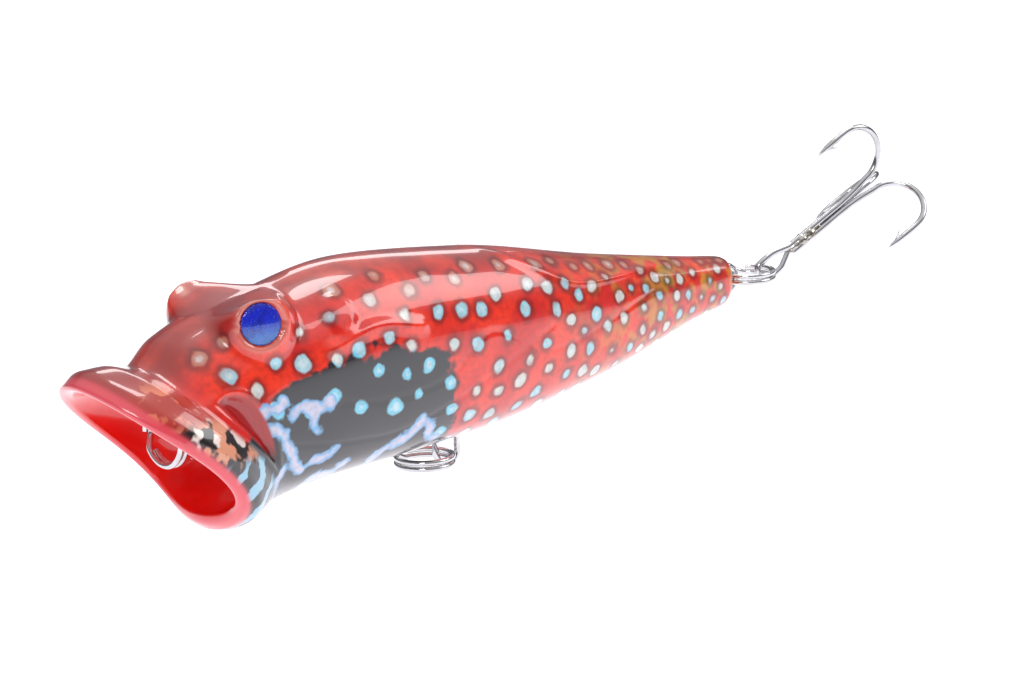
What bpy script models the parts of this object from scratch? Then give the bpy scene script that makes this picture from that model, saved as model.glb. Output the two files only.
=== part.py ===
"""Topwater popper: a hollow two-shell lure body with a cupped mouth, raised eyes, three wire
eyelets, three split rings, a tail treble hook, rattle balls and casting weights.

Frame: +X points from the mouth to the tail, +Z towards the back, and the fish's left flank
faces -Y. The origin is the middle of the line tie's eye. Outline figures are millimetres,
measured back from the tip of the upper lip and up from the body's centre line.
"""

import math

import bmesh
import bpy
import numpy as np
from mathutils import Vector

MM = 0.001

# ---- Driving dimensions, millimetres ----
LINE_TIE = Vector((12.2, 0.0, 0.8))      # middle of the line tie's eye: the frame's origin
WALL = 1.6                               # shell wall
SEAM = 0.15                              # each shell stops this far from the middle plane
LIP = 1.3                                # width of the lip's front band
CHIN = 1.3                               # how much wider the band is at the chin
CUP_DEPTH = Vector((9.0, 0.0, 1.5))      # from the middle of the mouth to the floor of its cup
TAIL_TIP = Vector((96.1, 0.0, 0.6))      # middle of the tail's end face

EYE = Vector((20.4, 7.15, 9.1))          # middle of the eye boss's face, on the right side
EYE_AXIS = Vector((-0.30, 0.95, 0.12)).normalized()
BOSS_RADIUS = 2.9                        # flat face of the boss
BOSS_SKIRT = 5.2                         # where the boss has run out into the head
BOSS_INSET = 3.6                         # the boss fades out this close to the middle plane
BOSS_LIFT = 1.5                          # the brow over the eye stands this far above the head
EYE_RADIUS = 2.15
EYE_SOCKET_DEPTH = 0.9
EYE_GAP = 0.3

WIRE = 0.42                              # radius of an eyelet's wire
STAPLE_RADIUS = 1.6                      # middle of the wire, round the eye
CHANNEL = 0.72                           # radius of the channel that holds a staple
RING_WIRE = 0.33                         # radius of a split ring's wire
RING_RADIUS = 3.3                        # middle of a split ring's wire
RING_PITCH = 0.74                        # from one coil to the next
RING_JOG = math.radians(40.0)            # stretch over which the wire steps to the next coil
HOOK_WIRE = 0.40                         # radius of the treble's wire

NOSE_HINGE = Vector((12.2, 0.0, 0.42))
BELLY_EYE = Vector((51.3, 0.0, -12.3))
BELLY_HINGE = Vector((51.3, 0.0, -12.68))
TAIL_EYE = Vector((97.1, 0.0, 0.6))
TAIL_HINGE = Vector((97.5, 0.0, 0.6))
TREBLE_HINGE = TAIL_HINGE + Vector((2.0 * RING_RADIUS, 0.0, 0.0))

SHANK = Vector((0.851, -0.171, 0.497)).normalized()     # from the treble's eye to its bends
HOOK_TURNS = (-35.8, 84.2, 204.2)        # degrees round the shank
TREBLE_EYE = 1.31                        # middle of the wire, round the treble's eye
NECK = 3.7                               # along the shank, from the eye's middle
CROTCH = 13.5
SHANK_SPREAD = 0.50                      # each wire's distance from the shank's axis
BEND_RADIUS = 3.75
BEND_AT = (18.0, 4.75)                   # middle of the bend: along the shank, away from it

# Tip to tail: top x, z; bottom x, z; half width; height of the widest point, from the top,
# as a fraction; roundness of the upper and lower half; how far the edge bows back.
STATIONS = (
    (1.2, 4.5, 16.6, -14.2, 10.4, 0.46, 1.9, 2.0, 3.2),      # mouth rim
    (3.2, 5.8, 18.2, -14.5, 10.7, 0.46, 1.9, 2.0, 3.1),      # lip's crest
    (5.6, 5.9, 20.0, -13.9, 10.2, 0.46, 1.9, 2.0, 2.7),
    (8.9, 5.2, 22.4, -12.9, 9.2, 0.48, 2.0, 2.0, 1.8),       # crease behind the lip
    (12.5, 7.8, 25.2, -12.2, 8.6, 0.50, 2.2, 2.1, 1.0),      # snout
    (17.5, 9.7, 28.0, -11.7, 8.5, 0.50, 2.2, 2.2, 0.4),      # forehead
    (26.0, 11.4, 33.0, -11.2, 8.8, 0.50, 2.2, 2.2, 0.0),
    (37.0, 13.0, 40.0, -11.0, 8.9, 0.50, 2.2, 2.2, 0.0),     # shoulder
    (55.0, 11.4, 55.0, -10.1, 8.2, 0.50, 2.2, 2.2, 0.0),
    (74.0, 7.5, 74.0, -7.3, 5.9, 0.50, 2.2, 2.2, 0.0),
    (90.0, 4.6, 89.6, -3.5, 3.4, 0.50, 2.2, 2.2, 0.0),
    (95.9, 3.6, 95.2, -2.4, 2.6, 0.50, 2.3, 2.3, 0.0),
    (96.4, 3.0, 95.8, -1.9, 2.1, 0.50, 2.3, 2.3, 0.0),       # tail's end face
)

# Rattle chambers: from x, to x, floor's z, ball radius.
CHAMBERS = (
    ("front", 27.6, 36.6, -3.4, 2.4),
    ("middle", 38.0, 47.0, -3.4, 2.4),
    ("rear", 57.0, 69.0, -6.3, 2.4),
)
BALL_CLEARANCE = 0.3                     # a ball's height above its chamber's floor
BELLY_WEIGHT = (31.0, 45.0, -7.2, 2.1)   # from x, to x, z, radius
TAIL_WEIGHT = (Vector((80.0, 0.0, 0.4)), 2.6)
POCKET_CLEARANCE = 0.35

ROWS_PER_STATION = 3
SIDES = 16                               # facets round half of the body
CUP_ROWS = 6

# ---- Materials: colour, roughness, metallic ----
FINISHES = {
    "red_lacquer": ((0.55, 0.03, 0.02), 0.12, 0.0),
    "blue_foil": ((0.02, 0.08, 0.75), 0.22, 0.8),
    "clear_lens": ((0.55, 0.68, 0.95), 0.05, 0.0),
    "nickel_wire": ((0.78, 0.78, 0.80), 0.16, 1.0),
    "nickel_hook": ((0.72, 0.72, 0.75), 0.18, 1.0),
    "braze": ((0.60, 0.58, 0.55), 0.35, 1.0),
    "steel_ball": ((0.62, 0.63, 0.66), 0.25, 1.0),
    "weight_metal": ((0.35, 0.36, 0.38), 0.45, 1.0),
}


def clear_scene():
    for old in list(bpy.data.objects):
        bpy.data.objects.remove(old, do_unlink=True)


def finish(name):
    """One Principled material for each node."""
    colour, roughness, metallic = FINISHES[name]
    material = bpy.data.materials.new(name)
    material.use_nodes = True
    shader = material.node_tree.nodes["Principled BSDF"]
    shader.inputs["Base Color"].default_value = (*colour, 1.0)
    shader.inputs["Roughness"].default_value = roughness
    shader.inputs["Metallic"].default_value = metallic
    material.diffuse_color = (*colour, 1.0)
    return material


def place(point):
    """A point of the outline, in metres from the line tie."""
    return (Vector(point) - LINE_TIE) * MM


def make_object(name, bm, finish_name=None, origin=None, sharp=35.0):
    """Turns a bmesh in outline millimetres into an object whose origin is the given point."""
    origin = Vector(LINE_TIE if origin is None else origin)
    for vert in bm.verts:
        vert.co = (vert.co - origin) * MM
    bmesh.ops.recalc_face_normals(bm, faces=bm.faces)
    mesh = bpy.data.meshes.new(name)
    bm.to_mesh(mesh)
    bm.free()
    mesh.shade_smooth()
    mesh.set_sharp_from_angle(angle=math.radians(sharp))
    obj = bpy.data.objects.new(name, mesh)
    obj.location = place(origin)
    bpy.context.scene.collection.objects.link(obj)
    if finish_name:
        mesh.materials.append(finish(finish_name))
    return obj


def make_cutter(name, bm):
    cutter = make_object(name, bm)
    cutter.hide_render = True
    cutter.display_type = "WIRE"
    return cutter


def cut(target, cutter):
    modifier = target.modifiers.new(cutter.name, "BOOLEAN")
    modifier.operation = "DIFFERENCE"
    modifier.solver = "EXACT"
    modifier.object = cutter


# ---- The body's outline ----
def hermite(values, spot):
    """A smooth curve through evenly numbered values, flat at each peak, so it never overshoots."""
    values = np.asarray(values, dtype=float)
    steps = np.diff(values)
    slopes = np.zeros(len(values))
    slopes[0] = steps[0]
    slopes[-1] = steps[-1]
    for i in range(1, len(values) - 1):
        if steps[i - 1] * steps[i] > 0.0:
            slopes[i] = 2.0 * steps[i - 1] * steps[i] / (steps[i - 1] + steps[i])
    i = min(int(spot), len(values) - 2)
    t = spot - i
    start = (1.0 + 2.0 * t) * (1.0 - t) ** 2 * values[i]
    end = t * t * (3.0 - 2.0 * t) * values[i + 1]
    lean = t * (1.0 - t) ** 2 * slopes[i] - t * t * (1.0 - t) * slopes[i + 1]
    return start + end + lean


def station(spot):
    """The outline's figures at a place between two stations."""
    return [hermite(column, spot) for column in zip(*STATIONS)]


def section_point(spot, turn):
    """A point on the right half of a section: turn runs from 0 on the back to pi on the belly."""
    top_x, top_z, low_x, low_z, width, widest, round_top, round_low, bow = station(spot)
    rise = math.cos(turn)
    power = 2.0 / (round_top if rise > 0.0 else round_low)
    rise = math.copysign(abs(rise) ** power, rise)
    side = abs(math.sin(turn)) ** power
    down = widest * (1.0 - rise) if rise > 0.0 else widest - rise * (1.0 - widest)
    x = top_x + down * (low_x - top_x) + bow * 6.75 * down * down * (1.0 - down)
    z = top_z + down * (low_z - top_z)
    return Vector((x, side * width, z))


def smooth_step(value):
    value = min(max(value, 0.0), 1.0)
    return value * value * (3.0 - 2.0 * value)


def raise_boss(point):
    """Lifts the head's surface to the flat face of the eye boss."""
    brow = math.exp(-((point.x - EYE.x) / 3.2) ** 2)
    brow *= smooth_step((point.z - 7.0) / 3.5)
    brow *= smooth_step((point.y - 1.0) / 3.5)
    point = point + Vector((0.0, 0.0, BOSS_LIFT * brow))
    offset = point - EYE
    height = -offset.dot(EYE_AXIS)
    across = (offset + height * EYE_AXIS).length
    fade = 1.0 - smooth_step((across - BOSS_RADIUS) / (BOSS_SKIRT - BOSS_RADIUS))
    fade *= smooth_step(point.y / BOSS_INSET)
    if height < 0.0:
        return point
    return point + EYE_AXIS * height * fade


def half_outline():
    """Rows of points over the right half, from the tail forward, over the lip and into the cup."""
    turns = [math.pi * i / SIDES for i in range(SIDES + 1)]
    last = (len(STATIONS) - 1) * ROWS_PER_STATION
    spots = [i / ROWS_PER_STATION for i in range(last, -1, -1)]
    rows = [[raise_boss(section_point(spot, turn)) for turn in turns] for spot in spots]
    rim = rows[-1]
    middle = (rim[0] + rim[-1]) * 0.5
    middle.y = 0.0
    edge = []
    for turn, point in zip(turns, rim):
        reach = point - middle
        band = LIP + CHIN * smooth_step((turn / math.pi - 0.62) / 0.38)
        edge.append(middle + reach * (1.0 - band / reach.length) + Vector((0.35, 0.0, 0.0)))
    rows.append(edge)
    for i in range(1, CUP_ROWS):
        angle = 0.5 * math.pi * i / CUP_ROWS
        spread = math.cos(angle) ** 0.7
        rows.append([middle + (p - middle) * spread + CUP_DEPTH * math.sin(angle) for p in edge])
    return rows, middle + CUP_DEPTH


def body_half(name, side):
    """One shell, closed along the seam: side is 1 for the right and -1 for the left."""
    rows, floor = half_outline()
    bm = bmesh.new()

    def corner(point):
        return bm.verts.new((point.x, side * max(point.y, SEAM), point.z))

    grid = [[corner(point) for point in row] for row in rows]
    tail = corner(TAIL_TIP)
    cup = corner(floor)
    for above, below in zip(grid, grid[1:]):
        for i in range(SIDES):
            bm.faces.new((above[i], above[i + 1], below[i + 1], below[i]))
    for i in range(SIDES):
        bm.faces.new((tail, grid[0][i + 1], grid[0][i]))
        bm.faces.new((cup, grid[-1][i], grid[-1][i + 1]))
    backs = [row[0] for row in grid]
    bellies = [row[-1] for row in grid]
    seam = bm.faces.new([tail, *backs, cup, *reversed(bellies)])
    seam.normal_update()
    bmesh.ops.triangulate(bm, faces=[seam])
    return make_object(name, bm, "red_lacquer", sharp=40.0)


# ---- Tubes, rings and turned pieces ----
def tube(bm, points, radius, sides, tip=None):
    """Sweeps a round wire along a path; a tip radius tapers its last few points at each end."""
    points = [Vector(point) for point in points]
    count = len(points)
    loops = []
    normal = None
    for i, point in enumerate(points):
        ahead = (points[min(i + 1, count - 1)] - points[max(i - 1, 0)]).normalized()
        if normal is None:
            normal = ahead.orthogonal().normalized()
        normal = (normal - ahead * normal.dot(ahead)).normalized()
        across = ahead.cross(normal)
        size = radius if tip is None else tip(i, count, radius)
        loop = []
        for k in range(sides):
            angle = 2.0 * math.pi * k / sides
            offset = normal * math.cos(angle) + across * math.sin(angle)
            loop.append(bm.verts.new(point + offset * size))
        loops.append(loop)
    for first, second in zip(loops, loops[1:]):
        for k in range(sides):
            n = (k + 1) % sides
            bm.faces.new((first[k], first[n], second[n], second[k]))
    bm.faces.new(list(reversed(loops[0])))
    bm.faces.new(loops[-1])


def turned(bm, profile, centre, axis, sides):
    """Turns a profile of (radius, height) round an axis; a radius of 0 closes it."""
    axis = Vector(axis).normalized()
    first = axis.orthogonal().normalized()
    second = axis.cross(first)
    loops = []
    for radius, height in profile:
        base = Vector(centre) + axis * height
        if radius == 0.0:
            loops.append([bm.verts.new(base)])
            continue
        loop = []
        for k in range(sides):
            angle = 2.0 * math.pi * k / sides
            offset = first * math.cos(angle) + second * math.sin(angle)
            loop.append(bm.verts.new(base + offset * radius))
        loops.append(loop)
    for low, high in zip(loops, loops[1:]):
        for k in range(sides):
            n = (k + 1) % sides
            if len(low) == 1:
                bm.faces.new((low[0], high[n], high[k]))
            elif len(high) == 1:
                bm.faces.new((low[k], low[n], high[0]))
            else:
                bm.faces.new((low[k], low[n], high[n], high[k]))


def ball(bm, centre, radius, rings, sides):
    steps = [math.pi * i / rings for i in range(rings + 1)]
    profile = [(radius * math.sin(a), -radius * math.cos(a)) for a in steps]
    profile[0] = (0.0, -radius)
    profile[-1] = (0.0, radius)
    turned(bm, profile, centre, (0.0, 0.0, 1.0), sides)


def staple_path(eye, outward, leg, foot):
    """A U of wire in the middle plane: foot, leg, round the eye, leg, foot."""
    outward = Vector(outward)
    across = Vector((0.0, 1.0, 0.0)).cross(outward)
    corner = 0.9
    half = []
    half.append((-leg, STAPLE_RADIUS + foot))
    for i in range(4):
        angle = math.radians(90.0 * i / 3.0)
        half.append((-leg + corner * (1.0 - math.cos(angle)),
                     STAPLE_RADIUS + corner * (1.0 - math.sin(angle))))
    half.append((-leg * 0.5, STAPLE_RADIUS))
    for i in range(6):
        angle = math.radians(90.0 - 18.0 * i)
        half.append((STAPLE_RADIUS * math.cos(angle), STAPLE_RADIUS * math.sin(angle)))
    path = half + [(a, -b) for a, b in reversed(half[:-1])]
    return [Vector(eye) + outward * a + across * b for a, b in path]


def ring_path(centre, first, second, steps=26):
    """Two coils of wire that step from one level to the next over a short stretch."""
    axis = first.cross(second)
    end = 4.0 * math.pi - RING_JOG
    points = []
    total = 2 * steps
    for i in range(total + 1):
        angle = end * i / total
        start = 2.0 * math.pi - RING_JOG
        level = RING_PITCH * (smooth_step((angle - start) / RING_JOG) - 0.5)
        turn = angle + math.pi * 0.5
        spot = first * math.cos(turn) + second * math.sin(turn)
        points.append(centre + spot * RING_RADIUS + axis * level)
    return points


# ---- Sub-parts ----
def body():
    right = body_half("body_right", 1.0)
    left = body_half("body_left", -1.0)
    cutters = []
    for name, start, end, floor, _ in CHAMBERS:
        cutters.append(make_cutter("chamber_" + name, chamber(start, end, floor)))
    start, end, height, radius = BELLY_WEIGHT
    room = radius + POCKET_CLEARANCE
    bm = bmesh.new()
    turned(bm, ((0.0, start - POCKET_CLEARANCE), (room, start - POCKET_CLEARANCE),
                (room, end + POCKET_CLEARANCE), (0.0, end + POCKET_CLEARANCE)),
           (0.0, 0.0, height), (1.0, 0.0, 0.0), 12)
    cutters.append(make_cutter("belly_pocket", bm))
    bm = bmesh.new()
    ball(bm, TAIL_WEIGHT[0], TAIL_WEIGHT[1] + POCKET_CLEARANCE, 8, 12)
    cutters.append(make_cutter("tail_pocket", bm))
    for name, path in staple_paths().items():
        bm = bmesh.new()
        tube(bm, channel_path(path), CHANNEL, 8)
        cutters.append(make_cutter(name + "_channel", bm))
    for shell, side in ((right, 1.0), (left, -1.0)):
        for cutter in cutters:
            cut(shell, cutter)
        bm = bmesh.new()
        centre = Vector((EYE.x, side * EYE.y, EYE.z))
        axis = Vector((EYE_AXIS.x, side * EYE_AXIS.y, EYE_AXIS.z))
        room = EYE_RADIUS + EYE_GAP
        turned(bm, ((0.0, -EYE_SOCKET_DEPTH), (room, -EYE_SOCKET_DEPTH), (room, 4.0), (0.0, 4.0)),
               centre, axis, 20)
        cut(shell, make_cutter("socket_" + shell.name, bm))


def channel_path(path):
    """The staple's path with its feet run on a little, so that the channel is longer."""
    first = path[0] + (path[0] - path[1]).normalized() * POCKET_CLEARANCE
    last = path[-1] + (path[-1] - path[-2]).normalized() * POCKET_CLEARANCE
    return [first, *path[1:-1], last]


def chamber(start, end, floor):
    """A rounded chamber across both shells, inside the wall."""
    stations = [station(i * 0.25) for i in range(4 * (len(STATIONS) - 1) + 1)]
    back_x = [row[0] for row in stations]
    back_z = [row[1] for row in stations]
    middle_x = [0.5 * (row[0] + row[2]) for row in stations]
    widths = [row[4] for row in stations]
    sides = 20
    bm = bmesh.new()
    loops = []
    for i in range(4):
        x = start + (end - start) * i / 3.0
        top = float(np.interp(x, back_x, back_z)) - WALL
        width = (float(np.interp(x, middle_x, widths)) - WALL) * 0.94
        loop = []
        for k in range(sides):
            angle = 2.0 * math.pi * (k + 0.5) / sides
            height = 0.5 * (top + floor) + 0.5 * (top - floor) * math.cos(angle)
            loop.append(bm.verts.new((x, width * math.sin(angle), height)))
        loops.append(loop)
    for first, second in zip(loops, loops[1:]):
        for k in range(sides):
            n = (k + 1) % sides
            bm.faces.new((first[k], first[n], second[n], second[k]))
    bm.faces.new(list(reversed(loops[0])))
    bm.faces.new(loops[-1])
    return bm


def eyes():
    for label, side in (("right", 1.0), ("left", -1.0)):
        axis = Vector((EYE_AXIS.x, side * EYE_AXIS.y, EYE_AXIS.z))
        centre = Vector((EYE.x, side * EYE.y, EYE.z)) - axis * EYE_SOCKET_DEPTH
        bm = bmesh.new()
        turned(bm, ((0.0, EYE_GAP), (EYE_RADIUS, EYE_GAP), (EYE_RADIUS, 0.7), (0.0, 0.7)),
               centre, axis, 20)
        make_object("eye_disc_" + label, bm, "blue_foil")
        bm = bmesh.new()
        dome = [(0.0, 0.78), (EYE_RADIUS, 0.78), (EYE_RADIUS, 1.15)]
        for i in range(1, 5):
            angle = math.radians(90.0 * i / 5.0)
            dome.append((EYE_RADIUS * math.cos(angle), 1.15 + 0.95 * math.sin(angle)))
        dome.append((0.0, 2.1))
        turned(bm, dome, centre, axis, 20)
        make_object("eye_lens_" + label, bm, "clear_lens")


def staple_paths():
    return {
        "line_tie_wire": staple_path(LINE_TIE, (-1.0, 0.0, 0.0), 13.0, 1.5),
        "belly_hanger_wire": staple_path(BELLY_EYE, (0.0, 0.0, -1.0), 7.4, 1.0),
        "tail_hanger_wire": staple_path(TAIL_EYE, (1.0, 0.0, 0.0), 10.6, 1.0),
    }


def hangers():
    for name, path in staple_paths().items():
        bm = bmesh.new()
        tube(bm, path, WIRE, 8)
        make_object(name, bm, "nickel_wire")


def split_rings():
    """Each ring's origin is on its hinge: the middle of its wires, inside the eyelet."""
    side = Vector((0.0, 1.0, 0.0))
    hung = (
        ("nose_split_ring", NOSE_HINGE, Vector((0.0, 0.0, -1.0))),
        ("belly_split_ring", BELLY_HINGE, Vector((-1.0, 0.0, 0.0))),
        ("tail_split_ring", TAIL_HINGE, Vector((1.0, 0.0, 0.0))),
    )
    for name, hinge, hang in hung:
        bm = bmesh.new()
        tube(bm, ring_path(hinge + hang * RING_RADIUS, hang, side), RING_WIRE, 6)
        make_object(name, bm, "nickel_wire", origin=hinge)


def shank_frame():
    """Two directions square to the shank, the first one nearest to straight up."""
    first = (Vector((0.0, 0.0, 1.0)) - SHANK * SHANK.z).normalized()
    return first, SHANK.cross(first)


def radial(turn):
    """The direction away from the shank, with turn 0 at the shank frame's own zero."""
    first, second = shank_frame()
    angle = math.radians(turn + 43.0)
    return first * math.cos(angle) + second * math.sin(angle)


def hook_path(turn):
    """From the shank's neck to the point: along the shank, over the bend and back."""
    out = radial(turn)
    path = [(NECK + 0.6, SHANK_SPREAD), (7.0, SHANK_SPREAD), (10.5, SHANK_SPREAD)]
    path.append((CROTCH, SHANK_SPREAD))
    path.append((CROTCH + 2.4, 0.68))
    for i in range(13):
        angle = math.radians(-90.0 + 15.0 * i)
        along = BEND_AT[0] + BEND_RADIUS * math.cos(angle)
        away = BEND_AT[1] + BEND_RADIUS * math.sin(angle)
        path.append((along, away))
    path.append((16.6, 8.52))
    path.append((15.4, 8.50))
    path.append((14.4, 8.46))
    path.append((13.2, 8.38))
    return [TREBLE_HINGE + SHANK * along + out * away for along, away in path]


def point_taper(both_ends):
    """Wire radius along a hook: full until the last three points, then down to the needle."""
    sizes = (0.16, 0.55, 0.85)

    def size(i, count, radius):
        steps = count - 1 - i
        if both_ends:
            steps = min(steps, i)
        return radius * sizes[steps] if steps < len(sizes) else radius

    return size


def treble():
    """A double hook, whose wire also forms the eye, a single hook and the braze collar."""
    upper = hook_path(HOOK_TURNS[0])
    lower = hook_path(HOOK_TURNS[2])
    lift = Vector((0.0, 1.0, 0.0)).cross(SHANK).normalized()
    if lift.dot(radial(HOOK_TURNS[0])) < 0.0:
        lift = -lift
    eye = []
    for i in range(11):
        angle = math.radians(115.0 - 23.0 * i)
        eye.append(TREBLE_HINGE + (-SHANK * math.cos(angle) + lift * math.sin(angle)) * TREBLE_EYE)
    bm = bmesh.new()
    tube(bm, [*reversed(upper), *eye, *lower], HOOK_WIRE, 6, point_taper(True))
    make_object("treble_double_hook", bm, "nickel_hook", origin=TREBLE_HINGE)
    bm = bmesh.new()
    tube(bm, hook_path(HOOK_TURNS[1]), HOOK_WIRE, 6, point_taper(False))
    make_object("treble_single_hook", bm, "nickel_hook", origin=TREBLE_HINGE)
    bm = bmesh.new()
    inner = SHANK_SPREAD + HOOK_WIRE + 0.1
    outer = inner + 0.22
    ring = ((inner, 5.2), (outer, 5.2), (outer, 7.0), (inner, 7.0), (inner, 5.2))
    turned(bm, ring, TREBLE_HINGE, SHANK, 14)
    bmesh.ops.remove_doubles(bm, verts=bm.verts, dist=0.001)
    make_object("treble_braze", bm, "braze", origin=TREBLE_HINGE)


def inside_pieces():
    for name, start, end, floor, radius in CHAMBERS:
        x = 0.5 * (start + end)
        bm = bmesh.new()
        centre = Vector((x, 0.0, floor + radius + BALL_CLEARANCE))
        ball(bm, centre, radius, 8, 12)
        make_object("rattle_ball_" + name, bm, "steel_ball", origin=centre, sharp=80.0)
    start, end, height, radius = BELLY_WEIGHT
    bm = bmesh.new()
    turned(bm, ((0.0, start), (radius * 0.85, start), (radius, start + 0.4), (radius, end - 0.4),
                (radius * 0.85, end), (0.0, end)), (0.0, 0.0, height), (1.0, 0.0, 0.0), 12)
    make_object("belly_weight", bm, "weight_metal")
    bm = bmesh.new()
    ball(bm, TAIL_WEIGHT[0], TAIL_WEIGHT[1], 8, 12)
    make_object("tail_weight", bm, "weight_metal", sharp=80.0)


clear_scene()
body()
eyes()
hangers()
split_rings()
treble()
inside_pieces()
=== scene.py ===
# %% [markdown]
# # A topwater popper, dressed for its portrait
# The lure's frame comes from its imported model: twenty pieces that move as eight bodies. This
# script gives it its looks. The painted body, the eyes and the wire parts are made again here with
# finer detail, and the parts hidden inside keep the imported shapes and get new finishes.
#
# Outline figures are millimetres, measured back from the tip of the upper lip and up from the
# body's centre line. The frame's own origin is the middle of the line tie's eye.

import math

import bmesh
import bpy
import numpy as np
from mathutils import Matrix, Vector


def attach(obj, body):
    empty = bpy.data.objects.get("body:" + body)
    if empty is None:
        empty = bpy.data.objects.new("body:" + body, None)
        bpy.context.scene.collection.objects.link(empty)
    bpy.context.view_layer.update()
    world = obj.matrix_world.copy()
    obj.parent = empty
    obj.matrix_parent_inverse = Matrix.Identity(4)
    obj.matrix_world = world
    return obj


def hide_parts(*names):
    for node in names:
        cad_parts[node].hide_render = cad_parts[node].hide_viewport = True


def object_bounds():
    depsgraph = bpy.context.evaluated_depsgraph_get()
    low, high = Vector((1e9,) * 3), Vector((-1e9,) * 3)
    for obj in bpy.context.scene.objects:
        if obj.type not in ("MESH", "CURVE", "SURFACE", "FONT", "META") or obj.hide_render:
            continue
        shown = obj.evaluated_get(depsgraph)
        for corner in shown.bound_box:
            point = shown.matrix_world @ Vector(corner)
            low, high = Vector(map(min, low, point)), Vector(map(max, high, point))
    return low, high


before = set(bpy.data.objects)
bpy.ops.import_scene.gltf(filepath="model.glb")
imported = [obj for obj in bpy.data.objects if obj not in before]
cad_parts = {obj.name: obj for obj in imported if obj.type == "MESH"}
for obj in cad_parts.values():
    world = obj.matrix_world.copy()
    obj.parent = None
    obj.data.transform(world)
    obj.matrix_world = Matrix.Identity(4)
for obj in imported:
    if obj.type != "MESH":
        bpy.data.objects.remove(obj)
cad_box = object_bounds()
scene = bpy.context.scene

MM = 0.001
LINE_TIE = np.array([12.2, 0.0, 0.8])


def place(points):
    """Outline millimetres to metres from the line tie."""
    return (np.asarray(points, dtype=float) - LINE_TIE) * MM


# %% [markdown]
# ## The camera
# The camera comes first, so that everything after it is set in the portrait's own angle. It stands
# about 38 cm in front of the lure's left cheek and looks a little down, through a long lens. It is
# turned by three directions: where it looks, its right, and its up.

# %% Camera
def stand_camera(name, position, forward, up, lens):
    data = bpy.data.cameras.new(name)
    data.lens = lens
    data.sensor_width = 36.0
    data.clip_start = 0.01
    data.clip_end = 20.0
    camera = bpy.data.objects.new(name, data)
    scene.collection.objects.link(camera)
    forward = Vector(forward).normalized()
    right = forward.cross(Vector(up)).normalized()
    over = right.cross(forward)
    turn = [[right[i], over[i], -forward[i], position[i]] for i in range(3)]
    camera.matrix_world = Matrix((*turn, (0.0, 0.0, 0.0, 1.0)))
    scene.camera = camera
    return camera


camera = stand_camera(
    "portrait_camera",
    position=(-0.19645, -0.28473, 0.08637),
    forward=(0.6366, 0.7366, -0.2284),
    up=(0.1731, 0.1571, 0.9723),
    lens=116.0,
)
print("camera at", [round(value, 3) for value in camera.matrix_world.translation])

# %% [markdown]
# ## The body's outline
# The body is a loft: at each station along its length a rounded section is stretched between the
# back and the belly. A Hermite curve runs through the stations' figures and lies flat at every
# peak, so that the surface never swells past them. Each row is written once for the right half.

# %% Stations and sections
# Top x, z; bottom x, z; half width; height of the widest point as a fraction from the top;
# roundness of the upper and lower half; how far the edge bows back.
STATIONS = np.array((
    (1.2, 4.5, 16.6, -14.2, 10.4, 0.46, 1.9, 2.0, 3.2),      # mouth rim
    (3.2, 5.8, 18.2, -14.5, 10.7, 0.46, 1.9, 2.0, 3.1),      # lip's crest
    (5.6, 5.9, 20.0, -13.9, 10.2, 0.46, 1.9, 2.0, 2.7),
    (8.9, 5.2, 22.4, -12.9, 9.2, 0.48, 2.0, 2.0, 1.8),       # crease behind the lip
    (12.5, 7.8, 25.2, -12.2, 8.6, 0.50, 2.2, 2.1, 1.0),      # snout
    (17.5, 9.7, 28.0, -11.7, 8.5, 0.50, 2.2, 2.2, 0.4),      # forehead
    (26.0, 11.4, 33.0, -11.2, 8.8, 0.50, 2.2, 2.2, 0.0),
    (37.0, 13.0, 40.0, -11.0, 8.9, 0.50, 2.2, 2.2, 0.0),     # shoulder
    (55.0, 11.4, 55.0, -10.1, 8.2, 0.50, 2.2, 2.2, 0.0),
    (74.0, 7.5, 74.0, -7.3, 5.9, 0.50, 2.2, 2.2, 0.0),
    (90.0, 4.6, 89.6, -3.5, 3.4, 0.50, 2.2, 2.2, 0.0),
    (95.9, 3.6, 95.2, -2.4, 2.6, 0.50, 2.3, 2.3, 0.0),
    (96.4, 3.0, 95.8, -1.9, 2.1, 0.50, 2.3, 2.3, 0.0),       # tail's end face
))


def hermite(values, spots):
    """Smooth curves through the rows of a table, at fractional row numbers."""
    steps = np.diff(values, axis=0)
    slopes = np.zeros_like(values)
    slopes[0] = steps[0]
    slopes[-1] = steps[-1]
    product = steps[:-1] * steps[1:]
    total = steps[:-1] + steps[1:]
    total[product <= 0.0] = 1.0
    slopes[1:-1] = np.where(product > 0.0, 2.0 * product / total, 0.0)
    spots = np.asarray(spots, dtype=float)
    i = np.minimum(spots.astype(int), len(values) - 2)
    t = (spots - i)[:, None]
    curve = (1.0 + 2.0 * t) * (1.0 - t) ** 2 * values[i]
    curve += t * t * (3.0 - 2.0 * t) * values[i + 1]
    curve += t * (1.0 - t) ** 2 * slopes[i] - t * t * (1.0 - t) * slopes[i + 1]
    return curve


def half_sections(spots, sides):
    """Points of the right half: one row for each spot, from the back round to the belly."""
    rows = hermite(STATIONS, spots)
    top_x, top_z, low_x, low_z, width, widest, round_top, round_low, bow = rows.T[:, :, None]
    turn = np.linspace(0.0, math.pi, sides + 1)[None, :]
    rise = np.cos(turn)
    power = 2.0 / np.where(rise > 0.0, round_top, round_low)
    rise = np.sign(rise) * np.abs(rise) ** power
    side = np.abs(np.sin(turn)) ** power
    side[:, 0] = 0.0
    side[:, -1] = 0.0
    down = np.where(rise > 0.0, widest * (1.0 - rise), widest - rise * (1.0 - widest))
    x = top_x + down * (low_x - top_x) + bow * 6.75 * down * down * (1.0 - down)
    z = top_z + down * (low_z - top_z)
    return np.stack((x, side * width, z), axis=-1)


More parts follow.
